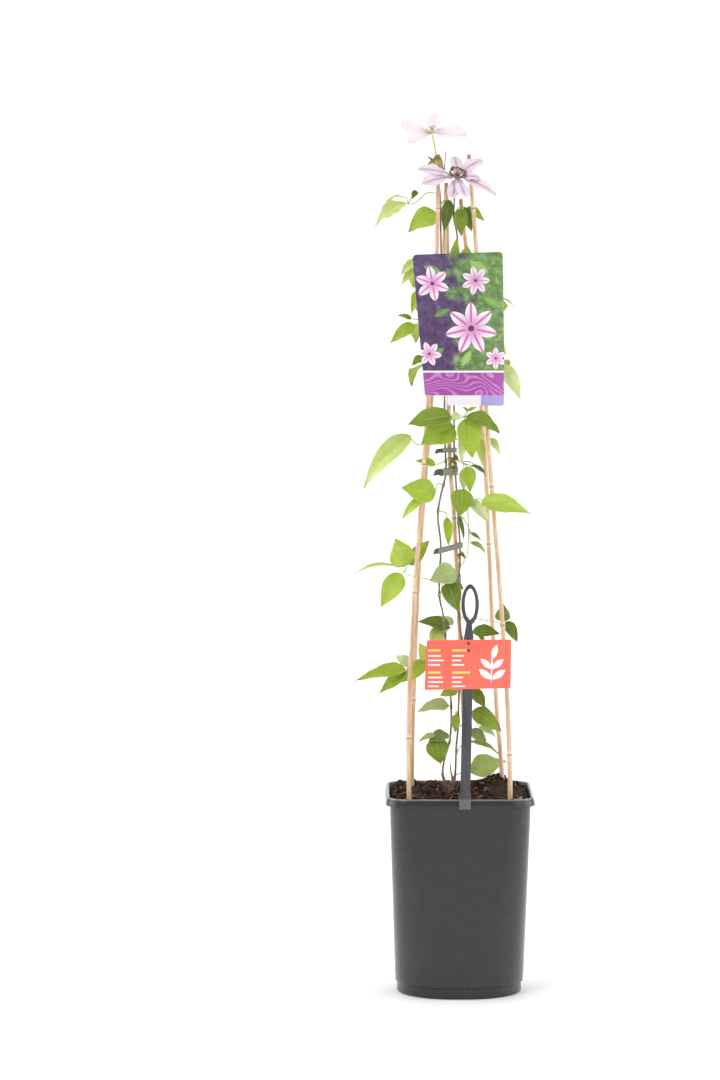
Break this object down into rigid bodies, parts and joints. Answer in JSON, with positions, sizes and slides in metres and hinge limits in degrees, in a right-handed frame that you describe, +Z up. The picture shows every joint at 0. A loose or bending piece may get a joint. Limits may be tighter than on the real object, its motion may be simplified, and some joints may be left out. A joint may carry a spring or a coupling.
{
  "type": "potted clematis",
  "caption": "Climbing clematis in a square-topped nursery pot of soil, tied to bamboo canes, with leaf sprays, open star-shaped flowers, a looped label strap and two cards.",
  "frame": {"origin": "centre of the pot's flat base, on the surface that it stands on", "axes": "+Z up; -Y towards the front, where the label strap and the cards are; +X to the right seen from the front"},
  "size_m": [0.2469, 0.2053, 1.1886],
  "materials": {
    "pot": "matte",
    "soil": "matte",
    "cane": "satin",
    "vine": "matte",
    "tape": "matte",
    "strap": "matte",
    "care_card": "satin",
    "picture_card": "satin",
    "leaf": "satin",
    "pink_tepal": "matte",
    "pale_tepal": "matte",
    "stamen": "matte"
  },
  "bodies": {
    "root": {"cane_back_left": "cane", "cane_back_right": "cane", "cane_centre": "cane", "cane_front_left": "cane", "cane_front_right": "cane", "care_card": "care_card", "label_strap": "strap", "leaf_bottom_grey": "leaf", "leaf_bottom_left": "leaf", "leaf_bottom_rib": "leaf", "leaf_bottom_right": "leaf", "leaf_bottom_thin": "leaf", "leaf_card_back_high": "leaf", "leaf_card_back_low": "leaf", "leaf_card_left_foot": "leaf", "leaf_card_left_high": "leaf", "leaf_card_left_low": "leaf", "leaf_card_left_mid": "leaf", "leaf_card_right_high": "leaf", "leaf_card_right_low": "leaf", "leaf_centre_dark": "leaf", "leaf_centre_grey": "leaf", "leaf_foot_right": "leaf", "leaf_left_fan": "leaf", "leaf_low_fan": "leaf", "leaf_low_left": "leaf", "leaf_low_right": "leaf", "leaf_mid_centre": "leaf", "leaf_mid_heart": "leaf", "leaf_mid_left": "leaf", "leaf_mid_right": "leaf", "leaf_mid_small": "leaf", "leaf_over_card": "leaf", "leaf_right_pair": "leaf", "leaf_rolled": "leaf", "leaf_side_right": "leaf", "leaf_small_left": "leaf", "leaf_top_left": "leaf", "leaf_top_right": "leaf", "leaf_top_wide": "leaf", "leaf_under_card": "leaf", "leaf_upper_far_left": "leaf", "leaf_upper_left": "leaf", "leaf_upper_right": "leaf", "main_flower_stalk": "leaf", "main_flower_stamens": "stamen", "main_flower_tepals": "pink_tepal", "picture_card": "picture_card", "pot": "pot", "soil": "soil", "tie_low": "tape", "tie_middle": "tape", "tie_top": "tape", "tie_upper": "tape", "top_flower_stalk": "leaf", "top_flower_stamens": "stamen", "top_flower_tepals": "pale_tepal", "vines": "vine"}
  },
  "joints": []
}
